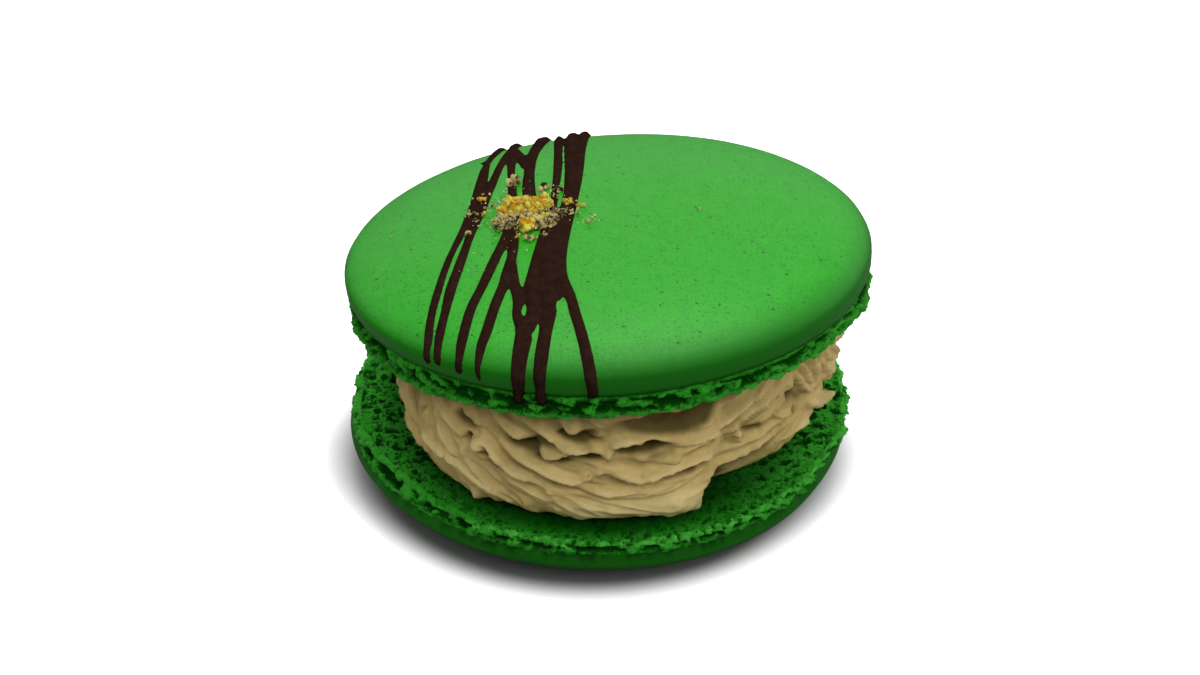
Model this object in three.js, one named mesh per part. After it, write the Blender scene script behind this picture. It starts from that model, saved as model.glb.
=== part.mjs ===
// A large filled macaron: two almond meringue shells with a thick spread of whipped cream between them.
// Millimetres, +Z up. The origin is the centre of the small flat spot that the lower shell rests on.
// The lower shell lies dome down, level; the upper shell sits dome up on the cream, tilted.
import * as THREE from "three";

// Shells
const SHELL_RADIUS = 40; // the widest part of a shell's smooth cap
const LOWER = {
  height: 11.4,
  footHeight: 2.6,
  capRadius: SHELL_RADIUS,
  shoulder: 0.51, // how square the cap's edge is, from 0 to 1
  dome: 0.66, // how far out the dome stays nearly flat, as a share of the radius
  flatRadius: 12, // the flat spot on the dome
};
const UPPER = {
  height: 13,
  footHeight: 4,
  capRadius: SHELL_RADIUS + 0.9,
  shoulder: 0.34,
  dome: 0.74,
  flatRadius: 4,
};
const UPPER_SEAT = new THREE.Vector3(1.6, -0.6, 32.6); // the centre of the upper shell's face
const UPPER_TILT = new THREE.Euler(-0.081, -0.066, 0); // it leans back and to the left, in radians
const RIM_ROUND = 1.4; // rounding where the face meets the foot
const CREASE_DEPTH = 0.7; // how far the crease between foot and cap is set in
const SKIRT = 1.5; // height of the cap's edge, from the crease up to its widest part

// Ruffles of the foot: waves round the shell, each with its count, depth and turn
const FOOT_WAVES = [
  { count: 5, depth: 0.25, turn: 0.4 },
  { count: 13, depth: 0.2, turn: 1.9 },
  { count: 21, depth: 0.2, turn: 4.1 },
];
const SKIN_WAVES = [
  { count: 2, depth: 0.25, turn: 0.7 },
  { count: 3, depth: 0.12, turn: 2.2 },
];

// Cream
const SEAT_GAP = 0.3; // clearance between the cream and each shell's face
const CREAM_RADIUS = 32.2; // where the cream meets the lower shell
const CREAM_BULGE = 2.4; // how much wider it is at its waist
const CREAM_FLARE = 1.6; // how much wider it is at the top than at the foot
const CREAM_LEAN = 1.8; // how far its top is pushed out on its right-hand side, +X
const FOLDS = 4; // layers of folded cream, one above another
const FOLD_TURNS = 1; // the layers wind upwards, like this many threads of a screw
const FOLD_DEPTH = 2.1; // how far each fold's lip stands out over the next
const FOLD_LIP = 0.66; // where on a fold its lip is, from its top edge, 0, to its bottom, 1
const FOLD_SWAY = [
  { count: 2, depth: 0.4, turn: 0.6 },
  { count: 5, depth: 0.24, turn: 2.4 },
  { count: 9, depth: 0.12, turn: 5 },
];
// Tips that the spatula pulled out of the cream: direction, height from 0 to 1, reach, and how far each
// spreads along and up
const TIPS = [
  { angle: -1.17, level: 0.12, reach: 2.6, along: 0.13, up: 0.12 },
  { angle: -0.12, level: 0.45, reach: 2.2, along: 0.1, up: 0.1 },
  { angle: -2.85, level: 0.9, reach: 2.4, along: 0.12, up: 0.14 },
  { angle: -2.28, level: 0.1, reach: 1.5, along: 0.1, up: 0.12 },
  { angle: 0.75, level: 0.3, reach: 2.0, along: 0.14, up: 0.14 },
  { angle: 1.9, level: 0.7, reach: 2.2, along: 0.16, up: 0.16 },
  { angle: 2.7, level: 0.2, reach: 1.8, along: 0.12, up: 0.14 },
];

// How finely the solids are faceted
const SHELL_SIDES = 72;
const FOOT_STEPS = 3; // along each curve of a shell's rim, foot and crease
const CAP_STEPS = 9;
const CREAM_SIDES = 96;
const CREAM_ROWS = 22;

const shellGreen = new THREE.MeshStandardMaterial({ color: 0x46b03a, roughness: 0.55, metalness: 0 });
const creamBeige = new THREE.MeshStandardMaterial({ color: 0xb09a66, roughness: 0.6, metalness: 0 });

// The sum of some waves round the axis, at one angle.
function waves(list, angle) {
  return list.reduce((sum, { count, depth, turn }) => sum + depth * Math.sin(count * angle + turn), 0);
}

// 0 at the ends of a stretch and 1 in its middle.
function hump(value, low, high) {
  const t = THREE.MathUtils.clamp((value - low) / (high - low), 0, 1);
  return Math.sin(Math.PI * t) ** 2;
}

// A lathe about Z instead of Y.
function latheAboutZ(points, sides) {
  return new THREE.LatheGeometry(points, sides).rotateX(Math.PI / 2);
}

// Moves every vertex of a geometry to move(point).
function reshape(geometry, move) {
  const position = geometry.getAttribute("position");
  const point = new THREE.Vector3();
  for (let i = 0; i < position.count; i++) {
    move(point.fromBufferAttribute(position, i));
    position.setXYZ(i, point.x, point.y, point.z);
  }
  return geometry;
}

// Half a shell's section: its flat face at height 0, the foot, the crease, and the cap up to a flat spot.
function shellSection({ height, footHeight, capRadius, shoulder, dome, flatRadius }) {
  const widest = footHeight + SKIRT;
  const crease = capRadius - CREASE_DEPTH;
  const foot = new THREE.Path();
  foot.moveTo(0, 0);
  foot.lineTo(capRadius - RIM_ROUND, 0);
  foot.quadraticCurveTo(capRadius, 0, capRadius, 0.4 * footHeight);
  foot.quadraticCurveTo(capRadius, 0.9 * footHeight, crease, footHeight);
  foot.quadraticCurveTo(capRadius, footHeight + 0.3, capRadius, widest);
  const cap = new THREE.CubicBezierCurve(
    new THREE.Vector2(capRadius, widest),
    new THREE.Vector2(capRadius, widest + shoulder * (height - widest)),
    new THREE.Vector2(dome * capRadius, height),
    new THREE.Vector2(flatRadius, height),
  );
  return [...foot.getPoints(FOOT_STEPS), ...cap.getPoints(CAP_STEPS).slice(1), new THREE.Vector2(0, height)];
}

// A shell's foot is ruffled, its cap is a little out of round, and its face and flat spot stay flat.
function shellGeometry(form) {
  return reshape(latheAboutZ(shellSection(form), SHELL_SIDES), (point) => {
    const angle = Math.atan2(point.y, point.x);
    const radius = Math.hypot(point.x, point.y);
    const foot = waves(FOOT_WAVES, angle) * hump(point.z, -0.6 * form.footHeight, 1.05 * form.footHeight);
    const cap = waves(SKIN_WAVES, angle) * (radius / form.capRadius) ** 2;
    const outwards = foot * (radius / form.capRadius) ** 8 + cap;
    const wider = radius > form.flatRadius + 1 ? 1 + outwards / radius : 1;
    point.x *= wider;
    point.y *= wider;
  });
}

// The height of the upper shell's face above a point.
function faceAbove(x, y) {
  const normal = new THREE.Vector3(0, 0, 1).applyEuler(UPPER_TILT);
  return UPPER_SEAT.z - (normal.x * (x - UPPER_SEAT.x) + normal.y * (y - UPPER_SEAT.y)) / normal.z;
}

// One fold's section, from its top edge, 0, to its bottom, 1: it grows out slowly, and turns in quickly under
// the lip.
function fold(t) {
  const phase = t - Math.floor(t);
  const toLip = phase < FOLD_LIP ? phase / FOLD_LIP : (1 - phase) / (1 - FOLD_LIP);
  return Math.sin(toLip * (Math.PI / 2));
}

// The cream's radius in one direction and at one level, from 0 on the lower shell to 1 under the upper one.
function creamRadius(angle, level) {
  const body = CREAM_RADIUS + CREAM_FLARE * level + CREAM_BULGE * Math.sin(Math.PI * level);
  const lean = CREAM_LEAN * Math.cos(angle) * level;
  const winding = (FOLD_TURNS * angle) / (2 * Math.PI);
  const folds = FOLD_DEPTH * (fold((1 - level) * FOLDS + winding + waves(FOLD_SWAY, angle)) - 0.6);
  const tips = TIPS.reduce((sum, tip) => {
    const turn = Math.atan2(Math.sin(angle - tip.angle), Math.cos(angle - tip.angle));
    return sum + tip.reach * Math.exp(-((turn / tip.along) ** 2) - ((level - tip.level) / tip.up) ** 2);
  }, 0);
  return body + lean + folds * hump(level, -0.25, 1.25) + tips;
}

// The cream is turned as a drum of radius 1 and height 1, and each vertex is then carried to its place.
function creamGeometry() {
  const rim = Array.from({ length: CREAM_ROWS + 1 }, (_, row) => new THREE.Vector2(1, row / CREAM_ROWS));
  const drum = [new THREE.Vector2(0, 0), ...rim, new THREE.Vector2(0, 1)];
  const floor = LOWER.height + SEAT_GAP;
  return reshape(latheAboutZ(drum, CREAM_SIDES), (point) => {
    const level = point.z;
    const onRim = Math.hypot(point.x, point.y) > 0.5;
    const angle = Math.atan2(point.y, point.x);
    const radius = onRim ? creamRadius(angle, level) : 0;
    point.x = radius * Math.cos(angle);
    point.y = radius * Math.sin(angle);
    point.z = THREE.MathUtils.lerp(floor, faceAbove(point.x, point.y) - SEAT_GAP, level);
  });
}

function named(name, geometry, material) {
  const mesh = new THREE.Mesh(geometry, material);
  mesh.name = name;
  return mesh;
}

const lowerShell = named("lower_shell", shellGeometry(LOWER), shellGreen);
lowerShell.rotation.x = Math.PI; // dome down
lowerShell.position.z = LOWER.height;

const creamFilling = named("cream_filling", creamGeometry(), creamBeige);

const upperShell = named("upper_shell", shellGeometry(UPPER), shellGreen);
upperShell.rotation.copy(UPPER_TILT);
upperShell.position.copy(UPPER_SEAT);

const macaron = new THREE.Group();
macaron.add(lowerShell, creamFilling, upperShell);

export default macaron;
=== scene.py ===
"""A large filled macaron: two green meringue shells, whipped cream, piped chocolate and crumbs.

Sizes are in millimetres, and MM turns them into metres as each mesh is made. +Z is up, and the
front is -Y. A place on the upper shell's cap is given in the cap's own flat map: millimetres along
the skin from the top of the dome, the first to the right and the second to the back.
"""
import math
from collections import namedtuple

import bpy
import numpy as np
from mathutils import Matrix, Vector


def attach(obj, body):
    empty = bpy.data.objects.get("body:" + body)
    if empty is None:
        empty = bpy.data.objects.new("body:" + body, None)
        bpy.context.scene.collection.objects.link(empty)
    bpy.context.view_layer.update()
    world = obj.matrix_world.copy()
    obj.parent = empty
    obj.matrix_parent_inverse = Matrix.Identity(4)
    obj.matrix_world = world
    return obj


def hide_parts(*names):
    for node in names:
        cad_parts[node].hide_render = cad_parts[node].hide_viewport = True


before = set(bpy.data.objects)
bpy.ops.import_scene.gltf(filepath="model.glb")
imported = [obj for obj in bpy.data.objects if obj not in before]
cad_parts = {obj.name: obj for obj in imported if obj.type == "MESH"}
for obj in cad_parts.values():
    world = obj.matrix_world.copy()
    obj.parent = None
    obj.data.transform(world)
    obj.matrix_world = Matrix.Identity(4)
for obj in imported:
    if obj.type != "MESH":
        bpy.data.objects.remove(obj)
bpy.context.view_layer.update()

MM = 0.001
WHITE = (1, 1, 1, 1)


# ---------------------------------------------------------------- camera

LOOK_AT = Vector((0.1, 0.0, 22.1))
LOOK_DOWN = math.radians(33.5)
LOOK_FROM = 421.0  # distance from LOOK_AT
LENS = 79.7


def make_camera():
    data = bpy.data.cameras.new("camera")
    data.lens = LENS
    data.clip_start = 0.01
    camera = bpy.data.objects.new("camera", data)
    back = Vector((0, -math.cos(LOOK_DOWN), math.sin(LOOK_DOWN)))
    camera.location = (LOOK_AT + back * LOOK_FROM) * MM
    camera.rotation_euler = (math.pi / 2 - LOOK_DOWN, 0, 0)
    bpy.context.scene.collection.objects.link(camera)
    bpy.context.scene.camera = camera


make_camera()


# ---------------------------------------------------------------- node helpers

class Value:
    """A node's output that plain arithmetic works on: each step adds one Math node."""

    def __init__(self, nodes, socket):
        self.nodes = nodes
        self.socket = socket

    def __add__(self, other):
        return self.nodes.math("ADD", self, other)

    def __sub__(self, other):
        return self.nodes.math("SUBTRACT", self, other)

    def __rsub__(self, other):
        return self.nodes.math("SUBTRACT", other, self)

    def __mul__(self, other):
        return self.nodes.math("MULTIPLY", self, other)

    def __truediv__(self, other):
        return self.nodes.math("DIVIDE", self, other)

    def __rtruediv__(self, other):
        return self.nodes.math("DIVIDE", other, self)


class Outputs:
    """A node's outputs, by name or by number."""

    def __init__(self, nodes, node):
        self.nodes = nodes
        self.node = node

    def __getitem__(self, which):
        return Value(self.nodes, self.node.outputs[which])


class Nodes:
    """Adds nodes to a tree. An input is given a plain value, a Value, or a list of Values."""

    def __init__(self, tree):
        self.tree = tree

    def feed(self, socket, value):
        for part in value if isinstance(value, list) else [value]:
            if isinstance(part, Value):
                self.tree.links.new(part.socket, socket)
            else:
                socket.default_value = part

    def add(self, kind, inputs=None, **settings):
        node = self.tree.nodes.new(kind)
        for name, value in settings.items():
            setattr(node, name, value)
        for name, value in (inputs or {}).items():
            self.feed(node.inputs[name], value)
        return Outputs(self, node)

    def give(self, **outputs):
        """Ends a group: what it puts out, by name."""
        self.add("NodeGroupOutput", outputs)

    def use(self, group, **values):
        """Places a shader node group with its own values."""
        inputs = {name.capitalize(): value for name, value in values.items()}
        return self.add("ShaderNodeGroup", inputs, node_tree=group)

    def math(self, operation, *values):
        return self.add("ShaderNodeMath", dict(enumerate(values)), operation=operation)[0]

    def largest(self, a, b):
        return self.math("MAXIMUM", a, b)

    def vector_math(self, operation, *values):
        return self.add("ShaderNodeVectorMath", dict(enumerate(values)), operation=operation)

    def scaled(self, vector, by):
        return self.add("ShaderNodeVectorMath", {0: vector, "Scale": by}, operation="SCALE")[0]

    def stretched(self, vector, by):
        return self.vector_math("MULTIPLY", vector, by)[0]

    def shifted(self, vector, by):
        return self.vector_math("ADD", vector, by)[0]

    def parts(self, vector):
        """The three parts of a vector or a colour."""
        split = self.add("ShaderNodeSeparateXYZ", {0: vector})
        return split[0], split[1], split[2]

    def noise(self, vector, scale, detail=2.0, rough=0.5):
        inputs = {"Vector": vector, "Scale": scale, "Detail": detail, "Roughness": rough}
        return self.add("ShaderNodeTexNoise", inputs)

    def bent(self, vector, scale, by):
        """The same place, moved about by soft noise."""
        wobble = self.shifted(self.noise(vector, scale)["Color"], (-0.5, -0.5, -0.5))
        return self.shifted(vector, self.scaled(wobble, by))

    def cells(self, vector, scale, sheet="3D"):
        inputs = {"Vector": vector, "Scale": scale}
        return self.add("ShaderNodeTexVoronoi", inputs, voronoi_dimensions=sheet)

    def ramp(self, value, low, high, out_low=0.0, out_high=1.0):
        """A smooth step from out_low to out_high as value goes from low to high."""
        inputs = {"Value": value, "From Min": low, "From Max": high, "To Min": out_low, "To Max": out_high}
        return self.add("ShaderNodeMapRange", inputs, interpolation_type="SMOOTHSTEP")[0]

    def mix(self, share, a, b):
        """Share goes from colour a to colour b."""
        return self.add("ShaderNodeMix", {0: share, 6: a, 7: b}, data_type="RGBA")[2]

    def blend(self, share, a, b):
        """Share goes from number a to number b."""
        return self.add("ShaderNodeMix", {0: share, 2: a, 3: b}, data_type="FLOAT")[0]

    def mark(self, name, kind="FLOAT"):
        """What the mesh is marked with under this name."""
        if self.tree.bl_idname == "GeometryNodeTree":
            return self.add("GeometryNodeInputNamedAttribute", {"Name": name}, data_type=kind)[0]
        return self.add("ShaderNodeAttribute", attribute_name=name)["Fac"]

    def marked(self, geometry, name, value, domain="POINT"):
        inputs = {"Geometry": geometry, "Name": name, "Value": value}
        return self.add("GeometryNodeStoreNamedAttribute", inputs, data_type="FLOAT", domain=domain)[0]

    def here(self):
        """Each point's own place, in millimetres."""
        return self.scaled(self.add("GeometryNodeInputPosition")[0], 1 / MM)

    def raised(self, geometry, rise):
        """Every point moved outwards, by so many metres."""
        offset = self.scaled(self.add("GeometryNodeInputNormal")[0], rise)
        return self.add("GeometryNodeSetPosition", {"Geometry": geometry, "Offset": offset})[0]

    def made_real(self, geometry, material):
        real = self.add("GeometryNodeRealizeInstances", {0: geometry})[0]
        return self.add("GeometryNodeSetMaterial", {"Geometry": real, "Material": material})[0]


def new_group(name, kind, inputs, outputs):
    """An empty node group; inputs and outputs are {name: its plain number, or its kind of socket}."""
    group = bpy.data.node_groups.new(name, kind)
    for in_out, sockets in (("INPUT", inputs), ("OUTPUT", outputs)):
        for label, value in sockets.items():
            plain = not isinstance(value, str)
            socket_type = "NodeSocket" + (type(value).__name__.capitalize() if plain else value)
            socket = group.interface.new_socket(label, in_out=in_out, socket_type=socket_type)
            if plain:
                socket.default_value = value
    nodes = Nodes(group)
    return group, nodes, nodes.add("NodeGroupInput")


# ---------------------------------------------------------------- mesh helpers

def plain_object(name, mesh):
    obj = bpy.data.objects.new(name, mesh)
    bpy.context.scene.collection.objects.link(obj)
    return obj


def mark_points(mesh, marks, kind="FLOAT"):
    """Marks a mesh; marks are {name: a number, or three of them, for each point}."""
    field = {"FLOAT": "value", "FLOAT_VECTOR": "vector"}[kind]
    for label, values in marks.items():
        values = np.asarray(values).astype(np.float32).ravel()
        mesh.attributes.new(label, kind, "POINT").data.foreach_set(field, values)


def mesh_from(name, points, quads, marks=None, triangles=()):
    """A smooth mesh from points in millimetres."""
    mesh = bpy.data.meshes.new(name)
    corners = np.concatenate([np.asarray(quads, int).ravel(), np.asarray(triangles, int).ravel()])
    sizes = np.concatenate([np.full(len(quads), 4), np.full(len(triangles), 3)])
    mesh.vertices.add(len(points))
    mesh.vertices.foreach_set("co", (np.asarray(points) * MM).astype(np.float32).ravel())
    mesh.loops.add(len(corners))
    mesh.loops.foreach_set("vertex_index", corners)
    mesh.polygons.add(len(sizes))
    mesh.polygons.foreach_set("loop_start", np.concatenate([[0], np.cumsum(sizes)[:-1]]))
    mark_points(mesh, marks or {})
    mesh.update(calc_edges=True)
    mesh.shade_smooth()
    return mesh


def loose_points(name, points, marks, edges=()):
    """Points in millimetres, on their own or joined by edges."""
    mesh = bpy.data.meshes.new(name)
    mesh.from_pydata((np.asarray(points) * MM).tolist(), list(edges), [])
    mark_points(mesh, marks)
    return mesh


def skin_of_rings(name, rings, marks):
    """A closed skin over rings of points, of shape (rows, sides, 3). It runs in to a point at both ends.

    The rings go round anticlockwise seen from +Z. Their outside is on the right of the rows' way.
    """
    rows, sides = rings.shape[:2]
    index = np.arange(rows * sides).reshape(rows, sides)
    after = np.roll(index, -1, axis=1)
    quads = np.stack([index[:-1], after[:-1], after[1:], index[1:]], -1).reshape(-1, 4)
    first, last = rows * sides, rows * sides + 1
    fans = np.concatenate([
        np.stack([np.full(sides, first), after[0], index[0]], -1),
        np.stack([np.full(sides, last), index[-1], after[-1]], -1),
    ])
    points = np.concatenate([rings.reshape(-1, 3), [rings[0].mean(0), rings[-1].mean(0)]])
    closed = {k: np.concatenate([v.ravel(), [v[0].mean(), v[-1].mean()]]) for k, v in marks.items()}
    return mesh_from(name, points, quads, closed, fans)


def grown(name, mesh, tree, **values):
    """Runs a Geometry Nodes tree on a mesh, and keeps the result as a plain mesh object."""
    obj = plain_object(name, mesh)
    modifier = obj.modifiers.new("grow", "NODES")
    modifier.node_group = tree
    for item in tree.interface.items_tree:
        key = item.name.lower().replace(" ", "_")
        if item.item_type == "SOCKET" and item.in_out == "INPUT" and key in values:
            modifier[item.identifier] = values.pop(key)
    if values:
        raise ValueError(f"{tree.name} has no input called {sorted(values)}")
    depsgraph = bpy.context.evaluated_depsgraph_get()
    result = bpy.data.meshes.new_from_object(
        obj.evaluated_get(depsgraph), preserve_all_data_layers=True, depsgraph=depsgraph)
    obj.modifiers.clear()
    obj.data = result
    result.name = name
    return obj


def smooth_step(values, low, high):
    t = np.clip((values - low) / (high - low), 0, 1)
    return t * t * (3 - 2 * t)


def curve_through(points, per_span=8):
    """A smooth open curve through rows of numbers: the Catmull-Rom spline."""
    p = np.asarray(points, float)
    p = np.vstack([2 * p[0] - p[1], p, 2 * p[-1] - p[-2]])
    t = np.linspace(0, 1, per_span, endpoint=False)[:, None]
    spans = [
        0.5 * (2 * b + (c - a) * t + (2 * a - 5 * b + 4 * c - d) * t**2 + (3 * b - a - 3 * c + d) * t**3)
        for a, b, c, d in zip(p, p[1:], p[2:], p[3:])
    ]
    return np.vstack([*spans, p[-2]])


# ---------------------------------------------------------------- where the shells are, from the frame

# A shell's own frame, in millimetres: its origin is the middle of the flat face, and +Z is through the dome
Seat = namedtuple("Seat", "turn middle height")
LEVEL = 0.9999  # the cosine within which two faces lie in one plane


def shell_seat(node):
    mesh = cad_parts[node].data
    normals = np.array([face.normal for face in mesh.polygons])
    areas = np.array([face.area for face in mesh.polygons])
    centres = np.array([face.center for face in mesh.polygons])
    tried = normals[:: max(1, len(normals) // 200)]
    level_areas = [(normals @ normal > LEVEL) @ areas for normal in tried]
    face_normal = tried[int(np.argmax(level_areas))]
    on_face = normals @ face_normal > LEVEL
    middle = (centres[on_face] * areas[on_face, None]).sum(0) / areas[on_face].sum()
    up = Vector(-face_normal).normalized()
    right = (Vector((1, 0, 0)) - up * up.x).normalized()
    turn = Matrix((right, up.cross(right), up)).transposed()
    points = np.array([v.co for v in mesh.vertices]) - middle
    return Seat(turn, middle / MM, (points @ np.array(up)).max() / MM)


def place(points, seat):
    """Takes points from a shell's own frame to the macaron's."""
    return points @ np.array(seat.turn).T + seat.middle


LOWER_SEAT = shell_seat("lower_shell")
UPPER_SEAT = shell_seat("upper_shell")


# ---------------------------------------------------------------- meringue shells

SHELL_SIDES = 960
LOWER_FORM = {
    "radius": 40.0,  # the cap's widest
    "foot": 2.5,  # height of the foot, from the face to the crease
    "skirt": 1.3,  # height of the cap's edge, from the crease to its widest
    "crease": 0.8,  # how far the crease is set in
    "shoulder": 0.5,  # how square the cap's edge is
    "dome": 0.66,  # how far out the dome stays flat
    "flat": 12.0,  # radius of the flat spot on the dome
    "lip": 1.0,  # how clearly the rim stands out as a raised lip, paler with painted light
    "draw_in": 0.0,  # how far the rim is drawn in
    "taller": 0.0,  # how much taller the foot is on the left
    "droop": 0.0,  # how much of the droops the rim has
    "setback": 1.0,  # how much of the setbacks its rim and its side have
    "open_face": 25.0,  # the face is finely made from this radius outwards
    "face_rows": 52,
    "foot_rows": 26,
    "cap_rows": 18,
}
UPPER_FORM = {
    "radius": 40.8,
    "foot": 2.8,
    "skirt": 2.8,
    "crease": 1.3,
    "shoulder": 0.3,
    "dome": 0.76,
    "flat": 4.0,
    "lip": 0.2,
    "draw_in": 0.45,
    "taller": 0.9,
    "droop": 1.0,
    "setback": 0.0,
    "open_face": 32.5,
    "face_rows": 14,
    "foot_rows": 34,
    "cap_rows": 46,
}
RIM_ROUND = 1.1  # how far in the rim starts to curve up from the face
EDGE_STEPS = 12  # points round the cap's edge
EDGE_SHADE_BAND = 5.6  # height of the cap's painted edge shade above the crease
EDGE_SHADE_WIDEST = math.radians(-70)  # the direction where that painted shade is widest and darkest
# Where the lower shell's rim draws back: direction and spread in degrees, and depth
RIM_SETBACKS = [
    (-142, 26, 1.7), (-100, 14, 0.5), (150, 25, 0.7), (60, 18, 0.9), (-5, 25, 0.6), (-90, 38, 0.25),
]
# Where the side of its dome is drawn in as well, written in the same way
SIDE_SETBACKS = [(-20, 28, 0.9), (-90, 38, 0.5), (-135, 20, 0.4)]
# Where the upper shell's rim hangs lower, written in the same way
RIM_DROOPS = [(185, 62, 1.3), (-78, 24, 0.65), (-6, 30, 1.5), (75, 40, 0.6)]
RIM_WAVES = [(3, 0.25, 0.7), (7, 0.18, 2.0), (12, 0.14, 4.4), (19, 0.12, 1.3), (31, 0.1, 3.0)]


def cubic(a, b, c, d, steps):
    t = np.linspace(0, 1, steps)[:, None]
    a, b, c, d = (np.array(point, float) for point in (a, b, c, d))
    return (1 - t) ** 3 * a + 3 * (1 - t) ** 2 * t * b + 3 * (1 - t) * t**2 * c + t**3 * d


def distance_along(outline):
    return np.concatenate([[0], np.cumsum(np.linalg.norm(np.diff(outline, axis=0), axis=1))])


def even_rows(outline, rows):
    """The same outline in so many evenly spaced points."""
    along = distance_along(outline)
    at = np.linspace(0, along[-1], rows)
    return np.stack([np.interp(at, along, outline[:, 0]), np.interp(at, along, outline[:, 1])], -1)


def cap_outline(form, height, steps=60):
    """The smooth cap in section, from its crease to the edge of its flat spot, as (radius, height)."""
    r, crease = form["radius"], form["foot"]
    widest = crease + form["skirt"]
    edge = cubic(
        (r - form["crease"], crease), (r - 0.1, crease - 0.05), (r, crease + 0.4), (r, widest), EDGE_STEPS,
    )
    dome = cubic(
        (r, widest), (r, widest + form["shoulder"] * (height - widest)),
        (form["dome"] * r, height), (form["flat"], height), steps,
    )
    return np.vstack([edge[:-1], dome])


def shell_section(form, height):
    """Half a shell in section, from its face's middle to its dome's, and which rows are face or foot."""
    r, foot, open_face = form["radius"], form["foot"], form["open_face"]
    face_rows = form["face_rows"]
    face = np.stack([np.linspace(open_face, r - RIM_ROUND, face_rows), np.zeros(face_rows)], -1)
    rim = cubic((r - RIM_ROUND, 0), (r - 0.3, 0), (r, 0.2), (r + 0.1, 0.3 * foot), 10)
    side = cubic(
        (r + 0.1, 0.3 * foot), (r + 0.2, 0.6 * foot), (r, 0.9 * foot), (r - form["crease"], foot), 16,
    )
    band = even_rows(np.vstack([rim, side[1:]]), form["foot_rows"])
    cap = even_rows(cap_outline(form, height), form["cap_rows"])
    inner = [[0.3, 0], [0.6 * open_face, 0]]
    rows = np.vstack([inner, face, band[1:], cap[1:], [[0.3, height]]])
    foot_from = len(inner) + face_rows
    foot_to = foot_from + form["foot_rows"] - 2
    is_foot, is_face = np.zeros(len(rows)), np.zeros(len(rows))
    is_foot[foot_from:foot_to] = 1
    is_face[:foot_from] = 1
    return rows, is_face, is_foot


def waves(list_of_waves, angle):
    return sum(depth * np.sin(count * angle + turn) for count, depth, turn in list_of_waves)


def humps(places, angle):
    """Gentle humps round a shell, each with its direction and spread in degrees, and its depth."""
    degrees = np.degrees(angle)
    total = np.zeros_like(angle)
    for direction, spread, depth in places:
        away = (degrees - direction + 180) % 360 - 180
        total += depth * np.exp(-((away / spread) ** 2))
    return total


def shell_shape(form, radius, height, round_about):
    """The shell's even rings, as radius and height, made ragged at the rim and uneven from side to side."""
    r, foot = form["radius"], form["foot"]
    near_rim = smooth_step(radius, 0.8 * r, 0.97 * r)
    near_rim *= 1 - smooth_step(height, 0.15 * foot, foot)
    ragged = (waves(RIM_WAVES, round_about) - form["draw_in"]) * near_rim
    shaped = radius + ragged - near_rim * form["setback"] * humps(RIM_SETBACKS, round_about)
    on_side = smooth_step(height, 0.5 * foot, foot) * smooth_step(shaped, 0.6 * r, 38)
    shaped = shaped - on_side * form["setback"] * humps(SIDE_SETBACKS, round_about)
    taller = np.clip(height / foot, 0, 1) * (1 - smooth_step(height, foot, foot + 6))
    lifted = height + form["taller"] * taller * np.maximum(0, -np.cos(round_about))
    lifted -= form["droop"] * near_rim * humps(RIM_DROOPS, round_about)
    return shaped, lifted


def shell_marks(form, radius, height, round_about, is_face, is_foot):
    """How much of each part of a shell every point is."""
    r, foot = form["radius"], form["foot"]
    all_round = np.ones_like(radius)
    sides = np.abs(np.cos(round_about)) ** 2 * all_round
    # The edge mark is painted shade: a dark band above the crease, taller and darker towards the front
    from_widest = np.cos(round_about - EDGE_SHADE_WIDEST)
    above_crease = (height - foot) / (EDGE_SHADE_BAND * (1 + 0.25 * from_widest))
    on_cap_side = height > foot - 0.01
    edge = (1 - smooth_step(above_crease, 0.45, 1.0)) * on_cap_side
    on_rim = smooth_step(radius, r - 1.8, r - 0.8)
    return {
        "face": is_face[:, None] * all_round,
        "foot": is_foot[:, None] * all_round,
        "up_foot": np.clip(height / foot, 0, 1),
        # Crumb more open at the left and right; the colours also use this for painted light there
        "open_crumb": sides,
        "edge": edge * (0.6 + 0.4 * from_widest),
        # The lip mark raises the rim and carries painted light onto it
        "lip": form["lip"] * on_rim * (1 - smooth_step(height, 0.15 * foot, 0.5 * foot)),
        "in_shade": (1 - smooth_step(radius, 32.0, 38.0)) * (1 - 0.5 * sides),
        "on_dome": smooth_step(radius, form["flat"], form["flat"] + 8) * on_cap_side,
        "near_rim": smooth_step(radius, r - 4.5, r - 0.8),
    }


def make_shell(name, form, seat, relief, materials, flip):
    """A shell as a fine skin, with its parts marked for the crumb that the tree gives it.

    A flipped shell lies dome down, so its own frame goes round the other way.
    """
    rows, is_face, is_foot = shell_section(form, seat.height)
    angle = np.linspace(-np.pi, np.pi, SHELL_SIDES, endpoint=False)
    round_about = -angle if flip else angle
    height = np.repeat(rows[:, 1:], SHELL_SIDES, 1)
    radius, lifted = shell_shape(form, np.repeat(rows[:, :1], SHELL_SIDES, 1), height, round_about)
    marks = shell_marks(form, radius, height, round_about, is_face, is_foot)
    rings = np.stack([radius * np.cos(angle), radius * np.sin(angle), lifted], -1)
    shell = skin_of_rings(name, place(rings, seat), marks)
    return grown(name, shell, relief, **materials)


CAVITY_SQUEEZE = (0.42, 0.42, 0.68)  # cavities are wider than they are high
LIP_SQUEEZE = (1, 1, 1.4)


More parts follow.
